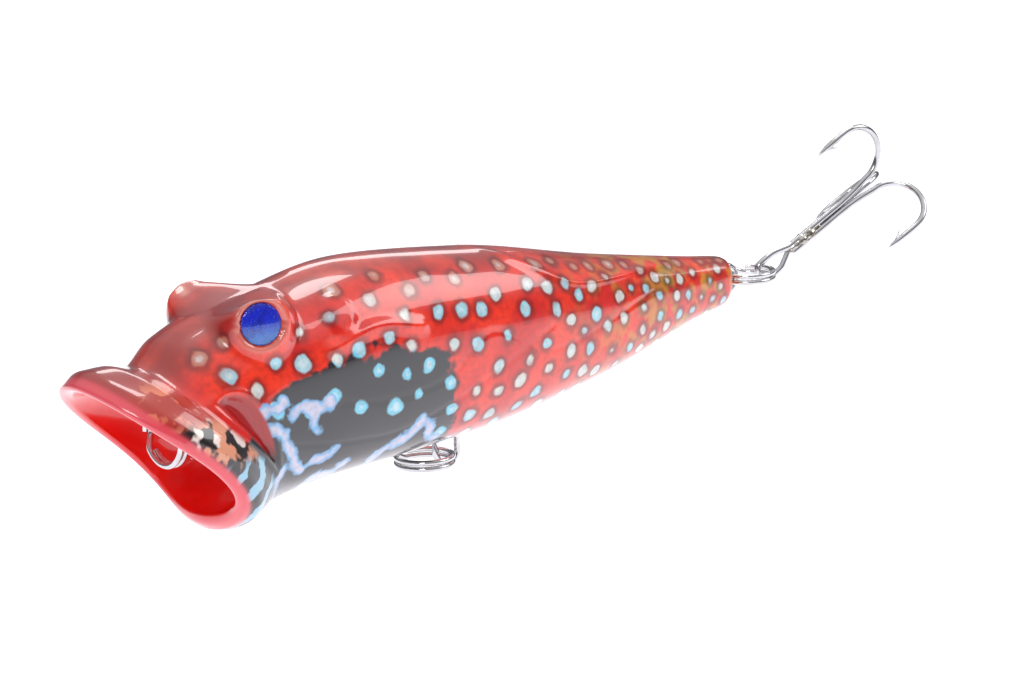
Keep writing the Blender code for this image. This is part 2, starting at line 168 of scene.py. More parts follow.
def even_spots(spacing):
    """Spots from the tail to the rim, spaced evenly along the body's length."""
    fine = np.linspace(0.0, len(STATIONS) - 1, 2400)
    rows = hermite(STATIONS, fine)
    steps = np.hypot(np.diff(rows[:, 0] + rows[:, 2]) * 0.5, np.diff(rows[:, 4]) * 0.7)
    length = np.concatenate(([0.0], np.cumsum(steps)))
    count = int(length[-1] / spacing)
    return np.interp(np.linspace(length[-1], 0.0, count), length, fine)


spots = even_spots(0.33)
print(len(spots), "rows from tail to rim")


# %% [markdown]
# ## Relief on the head
# The eyes stand on round bosses. The moulding also has a ring round each eye, a leaf-shaped gill
# hollow behind the mouth, and fine raised and sunk lines. Each one is a height that depends on the
# distance from a point or from a drawn line, and the surface moves along its own normal by it.

# %% Relief helpers
EYE = np.array([20.4, 7.15, 9.1])
EYE_AXIS = np.array([-0.30, 0.95, 0.12])
EYE_AXIS = EYE_AXIS / np.linalg.norm(EYE_AXIS)
BOSS_RADIUS = 2.9
BOSS_SKIRT = 5.2
BOSS_INSET = 3.6
BOSS_LIFT = 2.1


def smooth_step(value):
    value = np.clip(value, 0.0, 1.0)
    return value * value * (3.0 - 2.0 * value)


def around_eye(points):
    """Depth below the boss's face, and distance from the eye's axis."""
    offset = points - EYE
    depth = -offset @ EYE_AXIS
    across = np.linalg.norm(offset + depth[..., None] * EYE_AXIS, axis=-1)
    return depth, across


def raise_boss(points):
    brow = np.exp(-((points[..., 0] - EYE[0]) / 3.2) ** 2)
    brow = brow * smooth_step((points[..., 2] - 7.0) / 3.5) * smooth_step((points[..., 1] - 1.0) / 3.5)
    points = points + (BOSS_LIFT * brow)[..., None] * np.array([0.0, 0.0, 1.0])
    depth, across = around_eye(points)
    fade = 1.0 - smooth_step((across - BOSS_RADIUS) / (BOSS_SKIRT - BOSS_RADIUS))
    fade = fade * smooth_step(points[..., 1] / BOSS_INSET)
    return points + EYE_AXIS * (np.maximum(depth, 0.0) * fade)[..., None]


def flowing(corners, steps=14):
    """A Catmull-Rom curve through a few corners."""
    corners = np.asarray(corners, dtype=float)
    ends = (2.0 * corners[0] - corners[1], 2.0 * corners[-1] - corners[-2])
    p = np.vstack((ends[0], corners, ends[1]))
    pieces = []
    for i in range(1, len(p) - 2):
        t = np.linspace(0.0, 1.0, steps, endpoint=False)[:, None]
        a = 2.0 * p[i]
        b = p[i + 1] - p[i - 1]
        c = 2.0 * p[i - 1] - 5.0 * p[i] + 4.0 * p[i + 1] - p[i + 2]
        d = 3.0 * p[i] - p[i - 1] - 3.0 * p[i + 1] + p[i + 2]
        pieces.append(0.5 * (a + b * t + c * t * t + d * t ** 3))
    pieces.append(corners[-1:])
    return np.vstack(pieces)


def line_distance(points, corners):
    """Distance in side view from a flowing line."""
    line = flowing(corners)
    flat = points[..., (0, 2)]
    best = np.full(flat.shape[:-1], 1e9)
    for start, end in zip(line, line[1:]):
        along = end - start
        t = np.clip((flat - start) @ along / (along @ along), 0.0, 1.0)
        gap = np.linalg.norm(flat - start - t[..., None] * along, axis=-1)
        best = np.minimum(best, gap)
    return best


def leaf(points, start, end, belly):
    """Signed distance inside a leaf, straight on one edge and bellied on the other."""
    chord = np.array(end) - np.array(start)
    length = np.linalg.norm(chord)
    chord = chord / length
    flat = points[..., (0, 2)] - np.array(start)
    t = np.clip(flat @ chord / length, 0.0, 1.0)
    off = flat @ np.array([-chord[1], chord[0]])
    bulge = belly * np.sin(math.pi * t ** 0.62) ** 0.8
    inside = np.minimum(bulge - off, off + 0.12)
    ends = np.minimum(flat @ chord, length - flat @ chord)
    return np.minimum(inside, ends + 0.1)


print("eye axis", EYE_AXIS.round(3))

# %% The relief itself
GILL = ((13.6, 1.7), (20.9, -6.7), 3.1)
SWEEP_LINE = ((29.5, -1.0), (37.0, -2.0), (45.0, -1.0), (52.0, 3.0), (62.5, -1.0), (80.5, 2.5))
BELLY_LINE = ((22.0, -4.5), (32.0, -6.0), (42.0, -5.5), (62.0, 2.0))
DORSAL_LINE = ((56.0, 11.0), (61.0, 8.5), (68.5, 5.5), (85.0, 5.0))
FIN_LINE = ((29.0, 5.0), (35.5, 6.5), (41.5, 5.5))


EYE_POCKET = (2.55, 0.62)                # radius and depth
EYE_RING = (2.85, 0.16)                  # radius and height
OVAL = (31.2, 8.3, 1.5, 0.22)            # middle in side view, radius and height


def relief(points):
    """Height of the moulded detail at each point of the outside, in millimetres."""
    depth, across = around_eye(points)
    near = (np.abs(depth) < 0.4).astype(float)
    height = EYE_RING[1] * np.exp(-((across - EYE_RING[0]) / 0.42) ** 2) * near
    height -= EYE_POCKET[1] * smooth_step((EYE_POCKET[0] - across) / 0.3) * near
    gill = leaf(points, *GILL)
    height -= 1.10 * smooth_step((gill + 0.1) / 1.4)
    height += 0.14 * np.exp(-((gill + 0.35) / 0.3) ** 2)
    height -= 0.12 * np.exp(-(line_distance(points, SWEEP_LINE) / 0.24) ** 2)
    height -= 0.10 * np.exp(-(line_distance(points, BELLY_LINE) / 0.24) ** 2)
    ridge = 0.30 * np.exp(-(line_distance(points, DORSAL_LINE) / 0.45) ** 2)
    height += ridge * smooth_step((points[..., 1] - 1.2) / 2.4)
    fin = line_distance(points, FIN_LINE)
    height += 0.42 * (1.0 - smooth_step(fin / 1.25))
    oval = np.hypot(points[..., 0] - OVAL[0], (points[..., 2] - OVAL[1]) * 0.85)
    height += OVAL[3] * (1.0 - smooth_step((oval - OVAL[2]) / 0.5))
    return height


# %% [markdown]
# ## The body as one skin
# The real body is two shells, welded and painted over, so no seam shows. One closed skin stands
# for both shells. It runs from the middle of the tail forward over the outside, rolls over the lip
# in a round bead, and goes down the cup to its floor. The right half is mirrored point by point.

# %% Build the skin's rows
SIDES = 110
LIP = 1.3
CHIN = 1.3
CUP_DEPTH = np.array([9.0, 0.0, 1.5])


def push_out(points, height):
    """Moves a half grid along its own normals, and keeps its edges on the middle plane."""
    down = np.gradient(points, axis=0)
    round_ = np.gradient(points, axis=1)
    normal = np.cross(down, round_)
    normal /= np.maximum(np.linalg.norm(normal, axis=-1, keepdims=True), 1e-9)
    facing = np.sign(np.sum(normal * (points - points.mean(axis=1, keepdims=True)), axis=-1))
    normal *= facing[..., None]
    moved = points + normal * height[..., None]
    moved[:, (0, -1), 1] = 0.0
    return moved


outside = raise_boss(half_sections(spots, SIDES))
outside = push_out(outside, relief(outside))

rim = outside[-1]
middle = 0.5 * (rim[0] + rim[-1])
reach = rim - middle
band = LIP + CHIN * smooth_step((np.linspace(0.0, 1.0, SIDES + 1) - 0.62) / 0.38)
inward = band[:, None] / np.linalg.norm(reach, axis=-1, keepdims=True)
roll = []
for share in np.linspace(0.0, 1.0, 12)[1:]:
    bead = np.array([-0.45 * math.sin(math.pi * share) + 0.35 * share, 0.0, 0.0])
    roll.append(middle + reach * (1.0 - inward * share) + bead)
edge = roll[-1]
cup = []
for share in np.linspace(0.0, 1.0, 56)[1:-1]:
    angle = 0.5 * math.pi * share
    spread = math.cos(angle) ** 0.7
    cup.append(middle + (edge - middle) * spread + CUP_DEPTH * math.sin(angle))
half = np.concatenate((outside, np.array(roll), np.array(cup)))
print("skin rows:", len(outside), "outside,", len(roll), "lip,", len(cup), "cup")

# %% [markdown]
# ## Where each colour goes
# The paint follows the fish, not the room, so each point of the skin carries a few numbers that
# the lacquer reads: how far round from the back it lies, how deep inside the dark flank patch, how
# near the rim, and so on. An image texture could hold them too, but numbers on the mesh need no
# unwrapping and stay sharp at any distance.

# %% Paint guides for each point of the skin
def patch_depth(x, z):
    """Millimetres inside the dark patch behind the gill; negative outside it."""
    top = np.interp(x, (15.0, 25.0, 35.0, 50.0), (-3.0, 3.5, 4.0, 1.5))
    rear = 45.0 - 0.25 * z
    return np.minimum(top - z, rear - x)


def girth(points):
    """Distance round from the back, in millimetres."""
    steps = np.linalg.norm(np.diff(points, axis=1), axis=-1)
    return np.concatenate((np.zeros((len(points), 1)), np.cumsum(steps, axis=1)), axis=1)


rows_out = len(outside)
rows_lip = len(roll)
x = half[..., 0]
z = half[..., 2]
round_mm = girth(half)
share_down = round_mm / round_mm[:, -1:]
row = np.arange(len(half))[:, None] * np.ones_like(x)
crease_x = np.interp(z, (-13.0, -6.0, 5.5), (23.0, 20.0, 8.5))
guides = {
    "down": share_down,
    "patch": patch_depth(x, z),
    "gill": leaf(half, *GILL),
    "lip_bead": smooth_step((row - rows_out + 4.5) / 2.0),
    "mouth": smooth_step((row - rows_out - rows_lip + 5.0) / 4.0),
    "crease": crease_x - x,
    "tail": smooth_step((x - 60.0) / 26.0),
    "height": z,
    "length": x,
    "socket": np.exp(-((around_eye(half)[1] - 2.75) / 0.35) ** 2) * (np.abs(around_eye(half)[0]) < 1.6),
}
print("girth at the shoulder:", round(float(round_mm[:, -1].max()) * 2.0, 1), "mm")


# %% [markdown]
# The pale spots are scattered like darts: a random place on the flank is kept only if no spot is
# there yet. Their pitch shrinks towards the tail, as the fish's own spots do. The seed is fixed,
# so they fall in the same places each time, and both flanks get the same ones.

# %% Scatter the pale spots
def scatter_spots(seed, tries):
    draw = np.random.default_rng(seed)
    spots_at = []
    spot_radii = []
    for row_, column in zip(draw.integers(6, rows_out - 30, tries), draw.integers(8, SIDES - 8, tries)):
        point = half[row_, column]
        share = share_down[row_, column]
        depth = guides["patch"][row_, column]
        pitch = float(np.interp(point[0], (14.0, 40.0, 65.0, 95.0), (3.4, 3.2, 2.7, 1.8)))
        taken = spots_at and np.linalg.norm(np.array(spots_at) - point, axis=1).min() < pitch
        veined = point[0] < 45.0 and point[2] < -3.0
        gilled = guides["gill"][row_, column] > -1.2 or around_eye(point)[1] < 3.9
        chance = 0.35 if depth > 2.2 else 1.0
        if taken or veined or gilled or share < 0.15 or share > 0.93 or draw.random() > chance:
            continue
        spots_at.append(point)
        spot_radii.append(pitch * draw.uniform(0.20, 0.32))
    return np.array(spots_at), np.array(spot_radii), draw.random(len(spots_at))


spots_at, spot_radii, spot_tints = scatter_spots(seed=23, tries=16000)
flat_half = half.reshape(-1, 3)
gap = np.full(len(flat_half), 9.0)
tint = np.zeros(len(flat_half))
for centre, radius, shade in zip(spots_at, spot_radii, spot_tints):
    away = np.linalg.norm(flat_half - centre, axis=1) - radius
    nearer = away < gap
    gap[nearer] = away[nearer]
    tint[nearer] = shade
guides["spot_gap"] = gap.reshape(x.shape)
guides["spot_tint"] = tint.reshape(x.shape)
print(len(spots_at), "spots on each flank")


# %% [markdown]
# The pale veins of the cheek grow by a rule. Each has a root, a heading and a length, and waves a
# little about its heading. Thinner twigs leave it part of the way along. The guide holds the
# distance outside the nearest stroke.

# %% Grow the pale veins
VEIN_HALF_WIDTH = 0.7
VEIN_WAVE = 0.35
TWIG_LENGTH = 0.6
TWIG_WIDTH = 0.8
VEINS = (                                # root, heading, length, twigs as (share along, turn)
    ((20.0, -2.0), -50.0, 8.0, ((0.5, -60.0), (1.0, 75.0))),
    ((19.0, -0.5), 15.0, 3.0, ()),
    ((23.0, -1.0), 5.0, 5.0, ((0.5, -80.0),)),
    ((36.0, -9.5), 35.0, 7.0, ((1.0, -80.0),)),
    ((27.0, -10.5), 20.0, 5.0, ()),
)


def vein_point(root, heading, length, share):
    """Points in side view, at shares of the way along a waving stroke."""
    way = np.array([math.cos(math.radians(heading)), math.sin(math.radians(heading))])
    aside = np.array([-way[1], way[0]])
    wave = VEIN_WAVE * np.sin(2.0 * math.pi * share)
    return np.array(root) + np.outer(share * length, way) + np.outer(wave, aside)


def grow_vein(root, heading, length, twigs):
    """A trunk and its twigs, each with its half width."""
    along = np.linspace(0.0, 1.0, 5)
    grown = [(vein_point(root, heading, length, along), VEIN_HALF_WIDTH)]
    for share, turn in twigs:
        joint = vein_point(root, heading, length, np.array([share]))[0]
        twig = vein_point(joint, heading + turn, length * TWIG_LENGTH, along)
        grown.append((twig, VEIN_HALF_WIDTH * TWIG_WIDTH))
    return grown


flank_x = np.where(row < rows_out, x, 999.0)
side_view = np.stack((flank_x, half[..., 1], z), axis=-1)
grown = [stroke for drawing in VEINS for stroke in grow_vein(*drawing)]
strokes = [line_distance(side_view, stroke) - width for stroke, width in grown]
guides["vein_gap"] = np.minimum.reduce(strokes).clip(-2.0, 6.0)
print(len(grown), "vein strokes on each cheek")


# %% Turn the half grid into a closed mesh
def whole(values, mirrored=False):
    """A half grid and its mirror image, as full rings."""
    other = values[:, -2:0:-1].copy()
    if mirrored:
        other[..., 1] *= -1.0
    return np.concatenate((values, other), axis=1)


def grid_mesh(name, rings, start, end):
    """A closed mesh from rings of points, with a pole at each end."""
    count, around = rings.shape[:2]
    points = np.vstack((rings.reshape(-1, 3), start, end))
    index = np.arange(count * around).reshape(count, around)
    ahead = np.roll(index, -1, axis=1)
    quads = np.stack((index[:-1], ahead[:-1], ahead[1:], index[1:]), axis=-1).reshape(-1, 4)
    first = [(count * around, int(b), int(a)) for a, b in zip(index[0], ahead[0])]
    last = [(count * around + 1, int(a), int(b)) for a, b in zip(index[-1], ahead[-1])]
    mesh = bpy.data.meshes.new(name)
    mesh.from_pydata(place(points).tolist(), [], quads.tolist() + first + last)
    mesh.validate()
    bm = bmesh.new()
    bm.from_mesh(mesh)
    bmesh.ops.recalc_face_normals(bm, faces=bm.faces)
    bm.to_mesh(mesh)
    bm.free()
    mesh.shade_smooth()
    return mesh


def add_piece(name, mesh, material, body, slot, *stands_for):
    """Puts a finished mesh in the scene, on its body."""
    piece = bpy.data.objects.new(name, mesh)
    scene.collection.objects.link(piece)
    mesh.materials.clear()
    mesh.materials.append(material)
    if stands_for:
        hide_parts(*stands_for)
    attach(piece, body)
    print(name, "has", len(mesh.polygons), "faces")
    return piece


tail_pole = np.array([96.1, 0.0, 0.6])
cup_pole = middle + CUP_DEPTH
skin = grid_mesh("lure_skin", whole(half, mirrored=True), tail_pole, cup_pole)
for guide, values in guides.items():
    flat = whole(values).ravel()
    flat = np.concatenate((flat, flat[:1], flat[-1:])).astype(np.float32)
    skin.attributes.new(guide, "FLOAT", "POINT").data.foreach_set("value", flat)

print("skin has", len(skin.polygons), "faces")


# %% [markdown]
# ## A shorthand for finishes
# A node finish is a long list of nodes and links. This small helper writes one node in one line:
# it sets what is a number, links what is a socket, and gives back the output.

# %% Finish helper
class Finish:
    """A Principled material, and short calls that add nodes to it."""

    def __init__(self, name, **fixed):
        self.material = bpy.data.materials.new(name)
        self.material.use_nodes = True
        self.tree = self.material.node_tree
        self.shader = self.tree.nodes["Principled BSDF"]
        for socket, value in fixed.items():
            self.shader.inputs[socket.replace("_", " ")].default_value = value

    def add(self, kind, inputs=(), output=0, **settings):
        node = self.tree.nodes.new(kind)
        for setting, value in settings.items():
            setattr(node, setting, value)
        for key, value in dict(inputs).items():
            if isinstance(value, bpy.types.NodeSocket):
                self.tree.links.new(value, node.inputs[key])
            else:
                node.inputs[key].default_value = value
        return node.outputs[output]

    def guide(self, name):
        return self.add("ShaderNodeAttribute", output="Fac", attribute_name=name)

    def where(self):
        return self.add("ShaderNodeTexCoord", output="Object")

    def sum(self, kind, a, b=0.0):
        return self.add("ShaderNodeMath", {0: a, 1: b}, operation=kind)

    def span(self, value, low, high):
        """0 at low, 1 at high, smooth between."""
        inputs = {"Value": value, "From Min": low, "From Max": high}
        return self.add("ShaderNodeMapRange", inputs, interpolation_type="SMOOTHSTEP")

    def blend(self, share, a, b, kind="MIX"):
        inputs = {"Factor": share, 6: a, 7: b}
        return self.add("ShaderNodeMix", inputs, output=2, data_type="RGBA", blend_type=kind)

    def noise(self, scale, detail=2.0, vector=None, output="Fac", **settings):
        inputs = {"Scale": scale, "Detail": detail, "Vector": vector or self.where()}
        return self.add("ShaderNodeTexNoise", inputs, output=output, **settings)

    def bump(self, height, strength, distance, normal=None):
        inputs = {"Height": height, "Strength": strength, "Distance": distance}
        if normal is not None:
            inputs["Normal"] = normal
        return self.add("ShaderNodeBump", inputs, output="Normal")

    def wear(self, socket, value):
        self.tree.links.new(value, self.shader.inputs[socket])


def rgb(red, green, blue):
    """A colour from its usual 0 to 255 figures."""
    def linear(value):
        value /= 255.0
        return value / 12.92 if value <= 0.04045 else ((value + 0.055) / 1.055) ** 2.4
    return (linear(red), linear(green), linear(blue), 1.0)


print("lacquer red in linear light:", [round(value, 3) for value in rgb(200, 28, 10)[:3]])

# %% [markdown]
# ## The lacquer
# The lure is printed with a fish's skin and dipped in clear lacquer. The print is built up in the
# order a printer would: ground colours, then the dark patch, then spots with dark rims, then the
# pale veins of the lower cheek, then the lip. The clear coat goes over everything on the shader's
# own coat sockets, and only that coat gives the sharp reflections.

# %% Ground colours
lacquer = Finish("red_lacquer", Roughness=0.28, Coat_Weight=1.0, Coat_Roughness=0.025, Coat_IOR=1.55)
grain = lacquer.noise(1500.0, 3.0)
cloud = lacquer.noise(170.0, 3.0)
drift = lacquer.noise(420.0, 2.0)
down = lacquer.guide("down")
length = lacquer.guide("length")
tail = lacquer.guide("tail")

flank = lacquer.blend(lacquer.span(cloud, 0.38, 0.66), rgb(216, 20, 4), rgb(248, 50, 8))
grain_share = lacquer.sum("MULTIPLY", lacquer.span(grain, 0.35, 0.75), 0.35)
flank = lacquer.blend(grain_share, flank, rgb(160, 12, 6))
wobble = lacquer.sum("MULTIPLY", lacquer.sum("SUBTRACT", cloud, 0.5), 0.16)
level = lacquer.sum("ADD", down, wobble)
back_share = lacquer.span(level, 0.22, 0.08)
brown = lacquer.blend(lacquer.span(cloud, 0.40, 0.62), rgb(160, 22, 8), rgb(206, 44, 12))
ground = lacquer.blend(back_share, flank, brown)
belly_share = lacquer.sum("MULTIPLY", lacquer.span(level, 0.80, 0.97), 0.85)
ground = lacquer.blend(belly_share, ground, rgb(232, 168, 164))
gold_share = lacquer.sum("MULTIPLY", lacquer.span(drift, 0.46, 0.62), tail)
gold_share = lacquer.sum("MULTIPLY", gold_share, 0.85)
ground = lacquer.blend(gold_share, ground, rgb(206, 142, 40))
green_share = lacquer.sum("MULTIPLY", lacquer.span(lacquer.noise(560.0, 2.0), 0.56, 0.68), tail)
green_share = lacquer.sum("MULTIPLY", green_share, 0.65)
ground = lacquer.blend(green_share, ground, rgb(120, 128, 52))
print("ground colours use", len(lacquer.tree.nodes), "nodes")

# %% [markdown]
# Each spot is pale in the middle and has a dark rim, where the printer's black shows round it. The
# distance to the nearest spot comes with the mesh, and a little noise on it keeps the spots from
# being perfect circles.

# %% Dark patch, spots and their rims
soft = lacquer.sum("MULTIPLY", lacquer.sum("SUBTRACT", drift, 0.5), 5.0)
patch_in = lacquer.sum("ADD", lacquer.guide("patch"), soft)
patch_share = lacquer.span(patch_in, -0.25, 0.45)
ground = lacquer.blend(patch_share, ground, rgb(17, 19, 27))

ragged = lacquer.sum("MULTIPLY", lacquer.sum("SUBTRACT", lacquer.noise(560.0, 1.5), 0.5), 1.3)
spot_gap = lacquer.sum("ADD", lacquer.guide("spot_gap"), ragged)
spot_share = lacquer.span(spot_gap, 0.16, -0.20)
rim_share = lacquer.sum("MULTIPLY", lacquer.span(spot_gap, 0.95, 0.15), 0.70)
spot_tint = lacquer.guide("spot_tint")
height = lacquer.guide("height")

pale = lacquer.blend(lacquer.span(spot_tint, 0.3, 0.7), rgb(160, 214, 228), rgb(214, 214, 206))
pale = lacquer.blend(patch_share, pale, rgb(118, 208, 234))
pale = lacquer.blend(lacquer.span(down, 0.32, 0.16), pale, rgb(196, 110, 84))
middle_share = lacquer.sum("MULTIPLY", lacquer.span(spot_gap, -0.25, -0.8), 0.55)
pale = lacquer.blend(middle_share, pale, rgb(226, 232, 232))
pale = lacquer.blend(lacquer.sum("MULTIPLY", lacquer.span(grain, 0.4, 0.7), 0.35), pale, rgb(120, 140, 150))
dark = lacquer.blend(0.82, ground, rgb(26, 4, 6))
painted = lacquer.blend(rim_share, ground, dark)
painted = lacquer.blend(spot_share, painted, pale)
print("spots added:", len(lacquer.tree.nodes), "nodes")

# %% [markdown]
# The veins' edges are feathered by the same fine noise as the spots', and their colour runs from
# sky blue at the edge to a lilac grey in the middle.

# %% Pale veins below the patch
frayed = lacquer.sum("MULTIPLY", lacquer.sum("SUBTRACT", lacquer.noise(480.0, 2.0), 0.5), 2.2)
vein_gap = lacquer.sum("ADD", lacquer.guide("vein_gap"), frayed)
vein = lacquer.blend(lacquer.span(vein_gap, -0.1, -0.6), rgb(110, 176, 224), rgb(206, 204, 224))
speckle_share = lacquer.sum("MULTIPLY", lacquer.span(grain, 0.38, 0.62), 0.35)
vein = lacquer.blend(speckle_share, vein, rgb(150, 160, 190))
painted = lacquer.blend(lacquer.span(vein_gap, 0.22, -0.18), painted, vein)

# %% The lip, the gill and the mouth
lip_room = lacquer.span(lacquer.guide("crease"), 0.1, 1.3)
blotch = lacquer.noise(330.0, 2.5)
mottled = lacquer.blend(lacquer.span(blotch, 0.45, 0.50), rgb(226, 150, 118), rgb(20, 8, 8))
mottled = lacquer.blend(lacquer.span(lacquer.noise(380.0, 2.0), 0.57, 0.62), mottled, rgb(240, 222, 212))
stripe_at = lacquer.sum("SUBTRACT", length, lacquer.sum("MULTIPLY", height, 0.55))
stripe_at = lacquer.sum("ADD", lacquer.sum("MULTIPLY", stripe_at, 2.0), lacquer.sum("MULTIPLY", drift, 6.0))
stripe = lacquer.span(lacquer.sum("SINE", stripe_at), 0.25, 0.70)
striped = lacquer.blend(stripe, rgb(20, 22, 30), rgb(150, 200, 224))
low_lip = lacquer.span(down, 0.52, 0.58)
lip_paint = lacquer.blend(low_lip, mottled, striped)
lip_top = lacquer.blend(lacquer.span(blotch, 0.50, 0.56), rgb(176, 34, 14), rgb(226, 120, 84))
lip_top = lacquer.blend(lacquer.span(down, 0.20, 0.10), lip_top, rgb(160, 20, 12))
lip_paint = lacquer.blend(lacquer.span(lacquer.sum("ADD", down, wobble), 0.36, 0.30), lip_paint, lip_top)
lip_paint = lacquer.blend(lacquer.span(down, 0.88, 0.96), lip_paint, rgb(226, 150, 156))
painted = lacquer.blend(lip_room, painted, lip_paint)
socket_ring = lacquer.guide("socket")
painted = lacquer.blend(lacquer.sum("MULTIPLY", socket_ring, 0.75), painted, rgb(214, 138, 122))
gill_share = lacquer.span(lacquer.guide("gill"), 0.0, 0.35)
# Painted shade: the gill hollow's red darkens to near black towards its lower tip, where the recess lies in
# shadow.
gill_red_and_painted_shade = lacquer.blend(lacquer.span(height, -3.2, -6.2), rgb(176, 6, 6), rgb(30, 2, 4))
painted = lacquer.blend(gill_share, painted, gill_red_and_painted_shade)
bead_share = lacquer.guide("lip_bead")
painted = lacquer.blend(bead_share, painted, rgb(230, 70, 84))
mouth_red = lacquer.blend(lacquer.span(cloud, 0.3, 0.7), rgb(232, 14, 8), rgb(246, 26, 14))
painted = lacquer.blend(lacquer.guide("mouth"), painted, mouth_red)
lacquer.wear("Base Color", painted)
ripple = lacquer.bump(lacquer.noise(95.0, 1.0), 0.22, 0.0006)
lacquer.wear("Coat Normal", ripple)
print("lacquer has", len(lacquer.tree.nodes), "nodes")

body = add_piece("lure_skin", skin, lacquer.material, "lure_body", "red_lacquer", "body_left", "body_right")

# %% [markdown]
# ## The eyes
# Each eye is a disc of blue foil under a clear dome, set inside the moulded ring. Both are turned
# shapes: a profile of radius and height, spun round the eye's own axis. Blender's Spin would do,
# but writing the rings in numbers keeps the poles closed and the piece at the origin.

# %% Turned pieces
def turned_mesh(name, profile, centre, axis, around=64):
    """Spins a profile of (radius, height) that starts and ends on the axis."""
    axis = np.array(axis, dtype=float)
    axis /= np.linalg.norm(axis)
    first = np.cross(axis, (0.0, 0.0, 1.0))
    first /= np.linalg.norm(first)
    second = np.cross(axis, first)
    angle = np.linspace(0.0, 2.0 * math.pi, around, endpoint=False)[:, None]
    circle = first * np.cos(angle) + second * np.sin(angle)
    rings = np.array([centre + axis * height + circle * radius for radius, height in profile[1:-1]])
    return grid_mesh(name, rings, centre + axis * profile[0][1], centre + axis * profile[-1][1])


FOIL_RADIUS = 2.28
foil_profile = [(0.0, -0.9), (FOIL_RADIUS, -0.9), (FOIL_RADIUS, -0.48)]
foil_profile += [(FOIL_RADIUS * s, -0.46 + 0.22 * (1.0 - s * s)) for s in np.linspace(0.98, 0.04, 14)]
foil_profile += [(0.0, -0.24)]
dome_profile = [(0.0, -0.21)]
dome_profile += [((FOIL_RADIUS + 0.02) * s, -0.43 + 0.22 * (1.0 - s * s))
                 for s in np.linspace(0.04, 1.0, 12)]
dome_profile += [((FOIL_RADIUS + 0.04) * math.cos(a), -0.30 + 0.46 * math.sin(a))
                 for a in np.linspace(0.0, 1.53, 22)]
dome_profile += [(0.0, 0.16)]
print("eye profiles:", len(foil_profile), "and", len(dome_profile), "rings")

# %% Foil and dome finishes
foil = Finish("blue_foil", Metallic=0.0, Specular_IOR_Level=0.2)
foil_cloud = foil.noise(900.0, 4.0)
foil_fleck = foil.noise(5200.0, 2.0)
# Painted light: the lower half of each foil disc is painted a paler blue, by its height, as if light
# gathered there under the dome.
foil_painted_light = foil.add("ShaderNodeSeparateXYZ", {0: foil.where()}, output=2)
foil_painted_light = foil.span(foil_painted_light, 0.0088, 0.0066)
foil_colour = foil.blend(foil_painted_light, rgb(10, 44, 250), rgb(70, 156, 255))
cloud_share = foil.sum("MULTIPLY", foil.span(foil_cloud, 0.46, 0.66), 0.5)
foil_colour = foil.blend(cloud_share, foil_colour, rgb(6, 14, 170))
fleck_share = foil.sum("MULTIPLY", foil.span(foil_fleck, 0.55, 0.8), 0.5)
foil_colour = foil.blend(fleck_share, foil_colour, rgb(120, 170, 255))
foil.wear("Base Color", foil_colour)
foil.wear("Roughness", foil.span(foil_fleck, 0.1, 1.6))
foil.wear("Normal", foil.bump(foil_cloud, 0.35, 0.0002))

lens = Finish("clear_lens", Base_Color=(0.93, 0.96, 1.0, 1.0), Roughness=0.0, IOR=1.5,
              Transmission_Weight=1.0)
lens.wear("Normal", lens.bump(lens.noise(260.0, 1.0), 0.05, 0.0002))

for label, side in (("right", 1.0), ("left", -1.0)):
    turn = np.array([1.0, side, 1.0])
    eye_at = EYE * turn
    disc = turned_mesh("eye_foil_" + label, foil_profile, eye_at, EYE_AXIS * turn)
    add_piece("eye_foil_" + label, disc, foil.material, "lure_body", "blue_foil", "eye_disc_" + label)
    dome = turned_mesh("eye_dome_" + label, dome_profile, eye_at, EYE_AXIS * turn)
    add_piece("eye_dome_" + label, dome, lens.material, "lure_body", "clear_lens", "eye_lens_" + label)

# %% [markdown]
# ## Bright wire
# Eyelets, split rings and hooks are all bent wire, so one Geometry Nodes tree makes them all. It
# takes a drawn line of points, turns it into a curve, and sweeps a circle along it. A number on
# each point, the girth, thins the wire towards a hook's needle point. The result is turned into a
# plain mesh, because an exported model carries no modifiers.

# %% Geometry Nodes: wire along a line
def wire_tree():
    tree = bpy.data.node_groups.new("wire_along_line", "GeometryNodeTree")
    ports = tree.interface
    ports.new_socket("Line", in_out="INPUT", socket_type="NodeSocketGeometry")
    ports.new_socket("Wire Radius", in_out="INPUT", socket_type="NodeSocketFloat")
    ports.new_socket("Sides", in_out="INPUT", socket_type="NodeSocketInt")
    ports.new_socket("Finish", in_out="INPUT", socket_type="NodeSocketMaterial")
    ports.new_socket("Wire", in_out="OUTPUT", socket_type="NodeSocketGeometry")
    nodes = tree.nodes
    inputs = nodes.new("NodeGroupInput")
    to_curve = nodes.new("GeometryNodeMeshToCurve")
    girth_node = nodes.new("GeometryNodeInputNamedAttribute")
    girth_node.data_type = "FLOAT"
    girth_node.inputs["Name"].default_value = "girth"
    circle = nodes.new("GeometryNodeCurvePrimitiveCircle")
    sweep = nodes.new("GeometryNodeCurveToMesh")
    sweep.inputs["Fill Caps"].default_value = True
    smooth = nodes.new("GeometryNodeSetShadeSmooth")
    realize = nodes.new("GeometryNodeRealizeInstances")
    coat = nodes.new("GeometryNodeSetMaterial")
    output = nodes.new("NodeGroupOutput")
    link = tree.links.new
    link(inputs.outputs["Line"], to_curve.inputs["Mesh"])
    link(to_curve.outputs["Curve"], sweep.inputs["Curve"])
    link(girth_node.outputs["Attribute"], sweep.inputs["Scale"])
    link(inputs.outputs["Sides"], circle.inputs["Resolution"])
    link(inputs.outputs["Wire Radius"], circle.inputs["Radius"])
    link(circle.outputs["Curve"], sweep.inputs["Profile Curve"])
    link(sweep.outputs["Mesh"], smooth.inputs["Geometry"])
    link(smooth.outputs["Geometry"], realize.inputs["Geometry"])
    link(realize.outputs["Geometry"], coat.inputs["Geometry"])
    link(inputs.outputs["Finish"], coat.inputs["Material"])
    link(coat.outputs["Geometry"], output.inputs["Wire"])
    return tree


WIRE_TREE = wire_tree()


